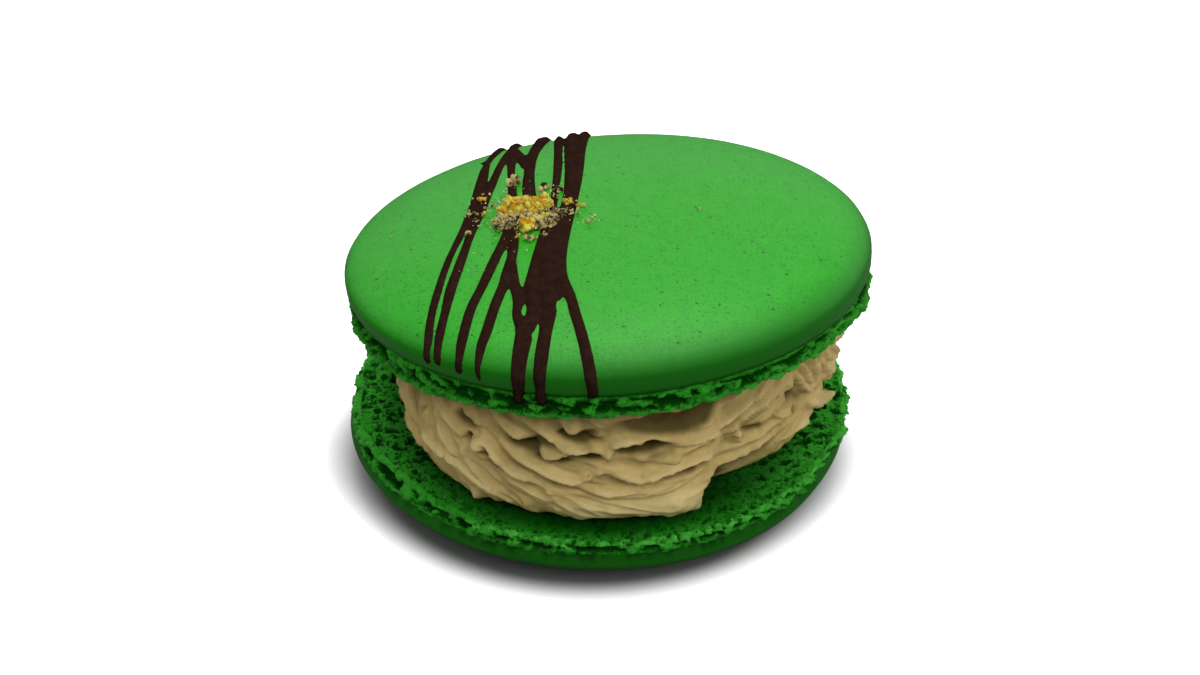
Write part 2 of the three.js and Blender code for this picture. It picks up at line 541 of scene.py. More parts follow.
def crumb_relief_tree():
    """Gives meringue its crumb: cavities and blobs in the foot, pits in the face, an almost even cap."""
    tree, nodes, given = new_group("Meringue crumb", "GeometryNodeTree", {
        "Geometry": "Geometry",
        "Cavity Depth": 1.7,
        "Blob Height": 0.8,
        "Lip Height": 0.5,
        "Pit Depth": 1.5,
        "Grain": 0.16,
        "Cap Swell": 0.22,
        "Material": "Material",
        "Crumb Material": "Material",
    }, {"Geometry": "Geometry"})
    face, foot, lip, up_foot = (nodes.mark(name) for name in ("face", "foot", "lip", "up_foot"))
    at = nodes.here()
    warped = nodes.bent(at, 0.9, 1.0)

    # The foot: cavities under the cap, and a fuller lip of blobs along the rim
    cavity = nodes.ramp(nodes.noise(nodes.stretched(warped, CAVITY_SQUEEZE), 1.0)[0], 0.44, 0.54)
    under_cap = nodes.ramp(up_foot, 0.14, 0.36) * nodes.ramp(up_foot, 1.0, 0.8)
    cavity = cavity * (under_cap * foot)
    blob = (0.5 - nodes.cells(warped, 0.62)["Distance"]) * foot * given["Blob Height"]
    broken = nodes.ramp(nodes.noise(nodes.stretched(warped, LIP_SQUEEZE), 0.75)[0], 0.38, 0.62, -0.7, 1.0)
    rim = lip * broken * given["Lip Height"]

    # The face: larger pits, more of them where the crumb is open, and many small ones
    large = nodes.cells(warped, 0.55)
    reach = nodes.parts(large["Color"])[0] * nodes.ramp(nodes.mark("open_crumb"), 0.1, 0.9, 0.3, 0.56)
    large_pit = nodes.ramp(reach - large["Distance"], 0.0, 0.08)
    small = nodes.cells(warped, 1.15)
    reach = (nodes.parts(small["Color"])[1] - 0.25) * 0.66
    small_pit = nodes.ramp(reach - small["Distance"], 0.0, 0.12)
    pits = nodes.largest(large_pit, small_pit * 0.7) * nodes.largest(face, lip * 0.6)

    # Fine grain, half as strong on the foot, and the cap's slow swell
    crumb = nodes.largest(face, foot)
    grain = (nodes.noise(at, 1.9, 3)[0] - 0.5) * (crumb - foot * 0.5) * (given["Grain"] * 4.0)
    swell = (nodes.noise(at, 0.07, 1)[0] - 0.5) * nodes.mark("on_dome") * given["Cap Swell"]

    depth = cavity * given["Cavity Depth"] + pits * given["Pit Depth"]
    rise = (blob + rim) + (grain + swell) - depth
    shell = nodes.marked(given["Geometry"], "stands_out", rise)
    shell = nodes.made_real(nodes.raised(shell, rise * MM), given["Material"])
    shell = nodes.add("GeometryNodeSetMaterial", {
        "Geometry": shell,
        "Selection": nodes.math("GREATER_THAN", crumb, 0.4),
        "Material": given["Crumb Material"],
    })[0]
    nodes.give(Geometry=shell)
    return tree


# ---------------------------------------------------------------- materials

def speck_group(name, sheet):
    """Scattered specks: a share of a loose pattern's cells each hold one, and Mask is 1 inside it."""
    group, nodes, given = new_group(name, "ShaderNodeTree", {
        "Vector": "Vector",
        "Spacing": 3.0,
        "Size": 0.2,
        "Share": 0.5,
    }, {"Mask": "Float"})
    per = 1.0 / given["Spacing"]
    cells = nodes.cells(given["Vector"], per, sheet)
    lot, growth, _ = nodes.parts(cells["Color"])
    chosen = nodes.math("LESS_THAN", lot, given["Share"])
    reach = given["Size"] * per * (growth + 0.4)
    nodes.give(Mask=nodes.ramp(cells["Distance"] / reach, 1.0, 0.75) * chosen)
    return group


def grain_group():
    """Fine mottling: Tone wanders about one half, and Height is the relief that goes with it."""
    group, nodes, given = new_group("Fine grain", "ShaderNodeTree", {
        "Vector": "Vector",
        "Size": 1.0,
        "Detail": 3.0,
    }, {"Tone": "Float", "Height": "Float"})
    per = 1.0 / given["Size"]
    wide = nodes.noise(given["Vector"], per, given["Detail"])[0]
    fine = nodes.noise(given["Vector"], per * 3.7, given["Detail"])[0]
    nodes.give(Tone=wide * 0.6 + fine * 0.4, Height=fine)
    return group


SPECKS = speck_group("Specks", "3D")
LEVEL_SPECKS = speck_group("Specks on a level surface", "2D")
GRAIN = grain_group()


def new_material(name, roughness, specular=0.5):
    """A material with its nodes, its shader and its Object coordinates in millimetres."""
    material = bpy.data.materials.new(name)
    material.use_nodes = True
    nodes = Nodes(material.node_tree)
    shader = material.node_tree.nodes["Principled BSDF"]
    shader.inputs["Roughness"].default_value = roughness
    shader.inputs["Specular IOR Level"].default_value = specular
    at = nodes.scaled(nodes.add("ShaderNodeTexCoord")["Object"], 1 / MM)
    return material, nodes, shader, at


def finish_surface(nodes, shader, base, height, bump_distance):
    nodes.feed(shader.inputs["Base Color"], base)
    bump = nodes.add("ShaderNodeBump", {"Height": height, "Distance": bump_distance * MM})
    nodes.feed(shader.inputs["Normal"], bump[0])


CAP_GREEN = (0.004, 0.285, 0.0005, 1)
CAP_GREEN_LIGHT = (0.010, 0.35, 0.0008, 1)
CAP_GREEN_PALE = (0.024, 0.40, 0.004, 1)
CAP_SPECK = (0.006, 0.055, 0.002, 1)
# Painted shade for the dark band along the cap's edge
CAP_EDGE_SHADE = (0.007, 0.115, 0.004, 1)
CRUMB_GREEN = (0.045, 0.48, 0.03, 1)
# Painted light: the paler crumb on the rim's lip and on the foot at the left and right
CRUMB_PAINTED_LIGHT = (0.12, 0.77, 0.08, 1)
CRUMB_SHADE = (0.0008, 0.03, 0.0005, 1)
# Painted shade: the crumb's cavities, holes and nicks
CRUMB_HOLLOW_SHADE = (0.0035, 0.092, 0.0025, 1)
# Painted shade: the face further in, and at the front and back
CRUMB_INNER_SHADE = (0.003, 0.16, 0.0015, 1)
CRUMB_SIDE_LIGHT = (0.10, 0.82, 0.07, 1)  # the face at the left and right, lighter with painted light


def cap_material():
    material, nodes, shader, at = new_material("green_meringue_cap", 0.28, 0.25)
    mottle = nodes.use(GRAIN, vector=at, size=2.2)
    fine = nodes.use(GRAIN, vector=at, size=0.42, detail=2.0)
    specks = nodes.use(LEVEL_SPECKS, vector=at, spacing=2.7, size=0.2, share=0.5)[0]
    aside = nodes.shifted(at, (7.3, 1.9, 0))
    dots = nodes.use(LEVEL_SPECKS, vector=aside, spacing=0.85, size=0.15, share=0.6)[0]
    edge = nodes.mark("edge")
    off_edge_shade = nodes.ramp(edge, 0.6, 0.2)
    specks = specks * off_edge_shade
    dots = dots * off_edge_shade
    base = nodes.mix(nodes.ramp(mottle["Tone"], 0.35, 0.65), CAP_GREEN, CAP_GREEN_LIGHT)
    base = nodes.mix(nodes.ramp(fine["Tone"], 0.4, 0.62, 0.0, 0.75), base, CAP_GREEN_PALE)
    base = nodes.mix(nodes.largest(specks * 0.8, dots * 0.6), base, CAP_SPECK)
    # Painted shade: the dark band along the cap's edge above the crease, where the specks and dots fade out
    base = nodes.mix(edge * 0.95, base, CAP_EDGE_SHADE)
    finish_surface(nodes, shader, base, fine["Height"] * 0.15 - specks * 0.3, 0.35)
    return material


def crumb_surface_material():
    material, nodes, shader, at = new_material("green_meringue_crumb", 0.9, 0.05)
    face, foot, lip, open_crumb = (nodes.mark(name) for name in ("face", "foot", "lip", "open_crumb"))
    side_lit_foot = foot * open_crumb

    # Painted light and shade: bright where the crumb stands out, painted shade in deep green inside its
    # cavities, darker further in under the cream and at the front and back, lighter with painted light at
    # the left and right, and painted light on the rim's lip
    fine = nodes.use(GRAIN, vector=at, size=0.35, detail=2.0)
    raised = nodes.mark("stands_out") + (fine["Tone"] - 0.5) * 2.8 + side_lit_foot * 0.3
    lit = nodes.mix(open_crumb, CRUMB_INNER_SHADE, CRUMB_SIDE_LIGHT)
    lit = nodes.mix(nodes.mark("near_rim"), lit, CRUMB_GREEN)
    lit = nodes.mix(side_lit_foot * 0.4, lit, CRUMB_PAINTED_LIGHT)
    # Painted light on the rim's lip, in patches; the lower shell's lip gets more of it than the upper's
    patches = nodes.ramp(nodes.noise(at, 1.1, 3)[0], 0.38, 0.60, 0.45, 1.0)
    lit = nodes.mix(lip * patches, lit, CRUMB_PAINTED_LIGHT)
    base = nodes.mix(nodes.ramp(raised, -0.8, 0.2), CRUMB_HOLLOW_SHADE, lit)

    # Painted shade of holes in the face in two sizes, and of nicks in the foot
    bent = nodes.bent(at, 1.4, 1.1)
    large = nodes.use(LEVEL_SPECKS, vector=bent, spacing=1.6, size=0.64, share=0.42)[0]
    large = large * nodes.ramp(open_crumb, 0.1, 0.7, 0.2, 1.0)
    aside = nodes.shifted(bent, (3.1, 6.7, 0))
    small = nodes.use(LEVEL_SPECKS, vector=aside, spacing=0.7, size=0.26, share=0.55)[0]
    hole_shade = nodes.largest(large, small * 0.8) * face
    nick_shade = nodes.use(SPECKS, vector=bent, spacing=0.95, size=0.42, share=0.5)[0]
    nick_shade = nick_shade * nodes.ramp(lip, 0.2, 0.9, 0.5, 0.8) * foot
    base = nodes.mix(nodes.largest(hole_shade, nick_shade), base, CRUMB_HOLLOW_SHADE)
    base = nodes.mix(nodes.mark("in_shade") * face * 0.9, base, CRUMB_SHADE)
    finish_surface(nodes, shader, base, fine["Height"], 0.4)
    return material


# ---------------------------------------------------------------- whipped cream

CREAM_SIDES = 880
CREAM_ROWS = 104
CREAM_REACH = 34.5  # a typical radius, which turns degrees round the cream into millimetres along it
# The radius where the cream meets the lower shell, in each direction in degrees, with -90 at the front
CREAM_FOOT = [
    (-173, 29.6), (-163, 29.6), (-152, 31.0), (-139, 32.3), (-131, 32.7), (-117, 33.2), (-101, 33.6),
    (-90, 33.6), (-79, 33.6), (-68, 33.9), (-62, 32.6), (-57, 29.6), (-49, 30.4), (-38, 31.7),
    (-30, 32.3), (-20, 33.0), (-8, 33.2), (8, 32.2), (25, 31.6), (42, 33.0), (60, 31.6), (78, 32.9),
    (97, 32.0), (113, 33.2), (131, 31.5), (148, 31.8), (164, 30.0),
]
CREAM_HEIGHT = 20.0  # a typical height
CREAM_SWELL = 2.0  # how much wider the cream is at its waist
CREAM_FLARE = 0.8  # how much wider it is at the top
CREAM_LEAN = 0.2  # how far its top is pushed out to the right
CREAM_TUCK = 1.6  # how far its bottom edge is rolled under
CREAM_GAP = 0.05  # between the cream and the shells' smooth faces, whose grain fills it

# Folds that the spatula left. Each is a crest: its points, as degrees round and height, and how far it
# stands out.
# A fold overhangs on the right-hand side of its crest, which is below it where it runs to the right.
FOLDS = [
    ([(-142, 25), (-139, 24.4), (-137, 23), (-138, 21)], 1.0),
    ([(-141, 20.4), (-136, 19.7), (-130, 19.1), (-124, 18.3), (-118, 16), (-113, 14)], 1.5),
    ([(-137, 28), (-134, 26), (-132, 23.7), (-129, 21), (-124, 19.2)], 1.1),
    ([(-136, 28.5), (-133, 27.2), (-130, 26.5), (-127, 25.2), (-124, 24)], 1.3),
    ([(-129, 28.6), (-126, 27), (-123, 25.2)], 0.9),
    ([(-126, 29), (-123, 28.4), (-120, 27.4), (-119.5, 25.8)], 0.9),
    ([(-121, 24), (-118, 24.8), (-115, 22.9), (-112, 21.2), (-108, 20.2), (-104, 19.6), (-101, 17)], 1.5),
    ([(-125, 22.6), (-123, 20.1), (-120, 18), (-117, 15.9)], 1.1),
    ([(-114, 25.3), (-110, 23.7), (-105, 22.7), (-100, 21.4), (-95, 20.8), (-90, 22.2)], 1.6),
    ([(-115, 29.5), (-111, 27.8), (-106, 26.9), (-102, 25.1), (-98, 25.3), (-95, 26.4)], 1.5),
    ([(-110, 30.5), (-104, 29.1), (-101, 27.9), (-98, 26.9), (-94, 26.6), (-91, 26.8), (-88, 25.8)], 1.8),
    ([(-99, 30.8), (-95, 28.8), (-92, 28.1), (-89, 28.6)], 1.1),
    ([(-88, 25.8), (-87, 27.2), (-84, 28), (-78, 28.1), (-73, 27)], 1.8),
    ([(-79, 26.2), (-76, 25.9), (-74, 26.4)], 0.9),
    ([(-90, 22.4), (-85, 22.2), (-81, 20.8), (-78, 21.3), (-73, 22.4), (-66, 22.8), (-60, 21.8),
      (-55, 22.7)], 1.7),
    ([(-75, 23.4), (-72, 23.9), (-70, 24.9), (-65, 25), (-60, 24.6)], 1.2),
    ([(-74, 27), (-68, 26.2), (-60, 25.5), (-55, 25.6), (-50, 27), (-44, 28.3), (-38, 29.6)], 1.8),
    ([(-56, 22.4), (-52, 23.5), (-49, 24.9), (-44, 26), (-40, 27), (-36, 27.4)], 1.5),
    ([(-52, 23), (-51.5, 21.5), (-50, 19.8)], 0.9),
    ([(-48, 23.4), (-44, 24.4), (-41, 25.4)], 0.8),
    ([(-37, 27.2), (-38, 24.9), (-38, 22.1), (-36, 19.7)], 0.8),
    ([(-33, 29), (-31, 26.4), (-27, 23.4), (-22, 22)], 1.6),
    ([(-24, 29), (-23, 26), (-21, 22)], 1.5),
    ([(-17, 30), (-16, 26), (-11, 23)], 1.3),
    ([(-29, 29.5), (-27, 26), (-24, 23.2)], 1.4),
    ([(-20, 29.5), (-18.5, 25.5), (-16, 22.5), (-13, 19.5)], 1.4),
    ([(-12.5, 29.5), (-11, 26), (-7, 22.5), (-5, 19)], 1.1),
    ([(-7, 29), (-4, 25), (-1, 21), (1, 17)], 1.1),
    ([(-27, 21.5), (-24, 19.5), (-18, 18.6), (-12, 19)], 1.0),
    ([(-41, 23.6), (-37, 21.4), (-31, 20.4)], 0.8),
    ([(-117, 21.5), (-112, 19), (-107, 17.6), (-101, 15.5)], 1.0),
    ([(-133, 18.3), (-127, 16.5), (-121, 14.6)], 0.8),
    ([(-104, 22.2), (-98, 20.4), (-92, 19), (-84, 18.4), (-76, 18.7), (-70, 19.6)], 0.8),
    ([(-64, 24.2), (-59, 23.6), (-54, 24.4), (-48, 26.4)], 0.8),
    ([(-70, 28.6), (-62, 27.4), (-54, 28), (-47, 29.3)], 0.9),
    ([(-47, 21.4), (-42, 23), (-37, 25.2)], 0.8),
    ([(-62, 17.2), (-55, 17), (-46, 17.4), (-38, 18)], 1.3),
    ([(-60, 19.6), (-50, 19.2), (-42, 20), (-34, 21)], 0.9),
    ([(-36, 15.6), (-28, 16.6), (-20, 17.4)], 0.9),
    ([(-161, 26), (-155, 23.5), (-149, 21), (-143, 19.5)], 1.3),
    ([(-158, 20), (-150, 17.5), (-141, 16)], 1.0),
]
HIDDEN_FOLDS = 30  # more folds, round the sides and the back
HIDDEN_ARC = (-12, 212)  # the degrees round that they fill
HIDDEN_FULL = 150  # they are slighter beyond this
FOLD_REACH = 3.8  # beyond this a fold changes nothing
FOLD_ABOVE = 0.7  # how far a fold slopes away above its crest
FOLD_BELOW = 0.5  # and below it
FOLD_GROOVE = 0.5  # depth of the trough under a crest, for each millimetre that the crest stands out
FOLD_DISH = 0.3  # and of the one above it
FOLD_DROOP = 0.15  # how far a crest hangs down, for each millimetre that it stands out
FOLD_CROSSING = 0.15  # how much of the lower crest is added where two of them cross
CREST_GAIN = 1.2  # how much of all this the crests have
GROOVE_GAIN = 1.1  # and the troughs

# Fuller and thinner places: degrees round, height, how far out, and spread along and up
LOBES = [
    (-85, 15.2, 1.6, 15, 3.6), (-69, 14.4, 1.5, 4.5, 3), (-58, 13.2, -2.2, 3.4, 2.2),
    (-131, 20, 0.8, 9, 6), (-7, 22.5, 1.4, 7, 3.6), (-26, 18, 0.8, 6, 3), (-162, 25, -1.6, 10, 7),
    (-47, 15.5, -0.8, 6, 2), (40, 17, 1.2, 8, 4), (86, 24, 1.4, 9, 4), (128, 16, 1.2, 7, 4),
]
# Hollows torn in the cream, written in the same way
HOLLOWS = [
    (-80.5, 26.3, -4.2, 3.6, 1.1), (-92.5, 25.2, -3.0, 2.8, 0.8), (-100, 20.3, -1.5, 0.7, 0.6),
    (-123, 24.1, -2.2, 0.8, 0.9), (-124, 27, -2.6, 1.8, 1.2), (-107, 26, -3.2, 2.6, 1.3),
    (-68, 20.9, -1.9, 3, 0.7), (-62, 20.8, -1.1, 2, 0.4), (-45, 21.6, -1.9, 2.2, 0.7),
    (-31, 20.1, -1.4, 0.7, 1.1), (-139, 24.5, -1.2, 0.6, 0.6), (-95, 28.1, -3.0, 2.8, 1.0),
    (-115, 20.8, -1.5, 1.6, 0.6), (-19, 26, -1.2, 0.6, 0.6), (-33, 25, -1.8, 0.9, 2),
    (-66, 28.9, -2.6, 3.8, 1.3), (-75, 29.6, -3.2, 4.6, 1.5), (-62, 30.0, -3.2, 5.6, 1.6),
    (6, 29, -2.0, 6, 1.8), (-56, 24.3, -1.3, 2.4, 0.5), (-101, 23.8, -1.3, 2.4, 0.5),
    (-118, 22.2, -1.2, 1.3, 0.6), (15, 21, -2, 3, 0.8), (52, 25, -2.2, 3.2, 0.9), (70, 18, -1.6, 2, 0.8),
    (105, 21, -2.2, 3.4, 0.8), (143, 24, -1.8, 2.4, 0.8), (160, 17, -1.6, 2.6, 0.7),
    (196, 20, -1.4, 2, 0.8),
]
# Tips drawn out of it: degrees round, height, reach, spread, and how far each points up or down
TIPS = [
    (-64.5, 11.6, 1.9, 1.2, -0.9), (-21, 20, 3.4, 0.75, 1.3), (-34.5, 27.1, 1.8, 1.1, -0.6),
    (-152, 23.6, 1.5, 1.5, 0.8), (-165, 19.6, 3.0, 1.4, 0.6), (-52, 22, 1.3, 0.9, 0.2),
    (-88, 25.8, 1.1, 0.9, -0.6), (-119.5, 24.1, 1.5, 1.1, -0.3), (-123, 13.2, 1.4, 1.4, -0.6),
    (-5, 25.5, 0.6, 2.0, 0.4), (47, 22, 2.2, 1.3, 0.6), (83, 14.5, 1.8, 1.3, -0.5),
    (119, 25, 2.2, 1.4, 0.6), (148, 19.5, 1.8, 1.2, 0.5),
]


def hidden_folds():
    """Folds like those at the front, sweeping up or down round the sides and the back."""
    random = np.random.default_rng(11)
    low, high = HIDDEN_ARC
    for number in range(HIDDEN_FOLDS):
        start = low + (high - low) * (number + random.uniform(0, 1)) / HIDDEN_FOLDS
        height = random.uniform(14, 29)
        slope = random.uniform(-0.22, 0.16)
        length = random.uniform(14, 34)
        steps = np.linspace(0, 1, 6)
        sway = random.uniform(0.4, 1.0) * np.sin(steps * random.uniform(4, 8) + random.uniform(0, 6))
        ahead = length * (steps - 0.5)
        crest = np.stack([start + ahead, height + slope * ahead + sway], -1)
        yield crest, random.uniform(0.9, 1.8) * (1 if start < HIDDEN_FULL else 0.6)


def fold_relief(along, up, crest, stands_out):
    """What one fold adds outwards, and takes downwards, at each place on the cream."""
    path = curve_through([(degrees * np.pi / 180 * CREAM_REACH, height) for degrees, height in crest])
    rise, drop = np.zeros_like(along), np.zeros_like(along)
    lap = 2 * np.pi * CREAM_REACH
    for turn in (-lap, 0, lap):
        u = along + turn
        near = (u > path[:, 0].min() - FOLD_REACH) & (u < path[:, 0].max() + FOLD_REACH)
        near &= (up > path[:, 1].min() - FOLD_REACH) & (up < path[:, 1].max() + FOLD_REACH)
        if not near.any():
            continue
        spot = np.stack([u[near], up[near]], -1)
        start, step = path[:-1], np.diff(path, axis=0)
        offset = spot[:, None] - start
        share = np.clip((offset * step).sum(-1) / (step**2).sum(-1), 0, 1)
        gap = offset - share[..., None] * step
        distance = np.linalg.norm(gap, axis=-1)
        which = distance.argmin(1)
        row = np.arange(len(spot))
        side = np.sign(step[which, 0] * offset[row, which, 1] - step[which, 1] * offset[row, which, 0])
        signed = side * distance[row, which]
        progress = (which + share[row, which]) / len(step)
        taper = stands_out * np.sqrt(np.clip(np.sin(np.pi * np.clip(progress, 0.03, 0.97)), 0, 1))
        spread = np.where(signed > 0, FOLD_ABOVE, FOLD_BELOW)
        crest_shape = np.exp(-np.abs(signed / spread) ** 1.1)
        groove = FOLD_GROOVE * np.exp(-(((signed + 1.5) / 1.1) ** 2))
        groove += FOLD_DISH * np.exp(-(((signed - 1.9) / 1.0) ** 2))
        rise[near] = taper * (crest_shape - groove)
        drop[near] = taper * FOLD_DROOP * np.exp(-((signed / FOLD_BELOW) ** 2))
    return rise, drop


def dab(along, up, degrees, height, amount, spread_along, spread_up, power=1.0):
    """A rounded bump, or a hollow where the amount is less than zero."""
    lap = 2 * np.pi * CREAM_REACH
    away = (along - math.radians(degrees) * CREAM_REACH + lap / 2) % lap - lap / 2
    return amount * np.exp(-(((away / spread_along) ** 2 + ((up - height) / spread_up) ** 2) ** power))


def cream_ceiling(radius, angle):
    """The height at which the cream meets the upper shell's flat face."""
    x, y = radius * np.cos(angle), radius * np.sin(angle)
    up = UPPER_SEAT.turn.col[2]
    middle = UPPER_SEAT.middle
    return middle[2] - (up.x * (x - middle[0]) + up.y * (y - middle[1])) / up.z - CREAM_GAP


def cream_rings():
    angle = np.linspace(-np.pi, np.pi, CREAM_SIDES, endpoint=False)[None, :]
    level = np.linspace(0, 1, CREAM_ROWS)[:, None]
    foot_angles, foot_radii = np.array(CREAM_FOOT).T
    foot = np.interp(np.degrees(angle), foot_angles, foot_radii, period=360)
    window = np.hanning(23)
    foot = np.convolve(np.tile(foot[0], 3), window / window.sum(), "same")
    foot = foot[CREAM_SIDES : 2 * CREAM_SIDES][None, :]
    body = foot + CREAM_FLARE * level + CREAM_SWELL * np.sin(np.pi * level) ** 0.7
    body = body + CREAM_LEAN * np.cos(angle) * level
    body -= CREAM_TUCK * np.exp(-level / 0.05)
    floor = LOWER_SEAT.middle[2] + CREAM_GAP
    ceiling = cream_ceiling(body[-1:], angle)
    up = floor + (ceiling - floor) * level
    along = angle * CREAM_REACH + 0 * up

    out = np.zeros_like(up)
    crests, grooves, drop = np.zeros_like(up), np.zeros_like(up), np.zeros_like(up)
    for crest, stands_out in [*FOLDS, *hidden_folds()]:
        rise, down = fold_relief(along, up, crest, stands_out)
        crests = np.maximum(crests, rise) + FOLD_CROSSING * np.minimum(crests, np.maximum(rise, 0))
        grooves = np.minimum(grooves, rise)
        drop = np.maximum(drop, down)
    out += CREST_GAIN * crests + GROOVE_GAIN * grooves * (1 - 0.5 * smooth_step(crests, 0.2, 1.2))
    for lobe in LOBES:
        out += dab(along, up, *lobe)
    for hollow in HOLLOWS:
        out += dab(along, up, *hollow, power=1.6)
    lift = -drop
    for degrees, height, reach, spread, point in TIPS:
        tip = dab(along, up, degrees, height, 1.0, spread, spread, power=0.75)
        out += reach * tip
        lift += point * tip**2
    at_edges = smooth_step(level, 0, 0.05) * smooth_step(1 - level, 0, 0.04)
    radius = body + out * at_edges
    height = up + lift * at_edges
    height = np.clip(height, floor, cream_ceiling(radius, angle))
    return np.stack([radius * np.cos(angle), radius * np.sin(angle), height], -1), out


DRAG_ACROSS = (0.12, -0.4, 0.46)  # the drag marks lie across this, so they dip at the front
DRAG_SHORT = 0.09  # the larger, the shorter the marks
DRAG_WIDTH = 0.08


def cream_ripple_tree():
    """Gives whipped cream its fine drag marks, soft unevenness and burst air bubbles."""
    tree, nodes, given = new_group("Cream ripples", "GeometryNodeTree", {
        "Geometry": "Geometry",
        "Sway": 0.6,
        "Drag Marks": 0.36,
        "Bubble Depth": 0.35,
        "Material": "Material",
    }, {"Geometry": "Geometry"})
    at = nodes.here()
    sway = (nodes.noise(at, 0.3)[0] - 0.5) * (given["Sway"] * 2.0)
    ways = [nodes.mark(name) for name in ("drag_right", "drag_back", "drag_across")]
    flow = nodes.add("ShaderNodeCombineXYZ", dict(enumerate(ways)))[0]
    streak = nodes.math("ABSOLUTE", nodes.noise(flow, 1.0, 1.5)[0] - 0.5)
    drag = nodes.ramp(streak, 0.0, DRAG_WIDTH, 1.0, 0.0) * given["Drag Marks"]
    cells = nodes.cells(at, 0.45)
    reach = (nodes.parts(cells["Color"])[0] - 0.55) * 0.5
    bubble = nodes.ramp(reach - cells["Distance"], 0.0, 0.12)
    rise = sway + drag - bubble * given["Bubble Depth"]
    cream = nodes.marked(given["Geometry"], "bubble", bubble)
    cream = nodes.raised(cream, rise * nodes.mark("open") * MM)
    nodes.give(Geometry=nodes.made_real(cream, given["Material"]))
    return tree


CREAM_BEIGE = (0.60, 0.433, 0.155, 1)
CREAM_LIGHT = (0.665, 0.503, 0.197, 1)
# Painted highlight on the cream's crests
CREAM_CREST_HIGHLIGHT = (0.77, 0.612, 0.277, 1)
CREAM_SPECK = (0.22, 0.15, 0.05, 1)
# Painted shade in the cream's hollows
CREAM_HOLLOW_SHADE = (0.15, 0.11, 0.03, 1)


def cream_material():
    material, nodes, shader, at = new_material("beige_cream", 0.5, 0.3)
    stands_out = nodes.mark("stands_out")
    mottle = nodes.use(GRAIN, vector=at, size=3.0)
    fine = nodes.use(GRAIN, vector=at, size=0.5)
    specks = nodes.use(SPECKS, vector=at, spacing=2.4, size=0.2, share=0.4)[0]
    base = nodes.mix(nodes.ramp(mottle["Tone"], 0.35, 0.65), CREAM_BEIGE, CREAM_LIGHT)
    # Painted shade in the hollows and painted highlight on the crests
    base = nodes.mix(nodes.ramp(stands_out, -1.2, 0.3), CREAM_HOLLOW_SHADE, base)
    base = nodes.mix(nodes.ramp(stands_out, 0.5, 1.6, 0.0, 0.8), base, CREAM_CREST_HIGHLIGHT)
    base = nodes.mix(specks * 0.6, base, CREAM_SPECK)
    base = nodes.mix(nodes.mark("bubble") * 0.3, base, CREAM_SPECK)
    finish_surface(nodes, shader, base, fine["Height"], 0.1)
    return material


def make_cream(ripples, material):
    rings, stands_out = cream_rings()
    angle = np.linspace(-np.pi, np.pi, CREAM_SIDES, endpoint=False)[None, :]
    level = np.linspace(0, 1, CREAM_ROWS)[:, None] + 0 * angle
    # Each point's place on a plain round of cream, which the drag marks follow
    around = CREAM_REACH + 0 * level
    spot = around * np.cos(angle), around * np.sin(angle), CREAM_HEIGHT * level
    marks = {
        "open": smooth_step(level, 0.01, 0.06) * smooth_step(1 - level, 0.01, 0.05),
        "stands_out": stands_out,
        "drag_right": DRAG_SHORT * spot[0],
        "drag_back": DRAG_SHORT * spot[1],
        "drag_across": sum(share * part for share, part in zip(DRAG_ACROSS, spot)),
    }
    return grown("whipped_cream", skin_of_rings("whipped_cream", rings, marks), ripples, material=material)


# ---------------------------------------------------------------- piped chocolate

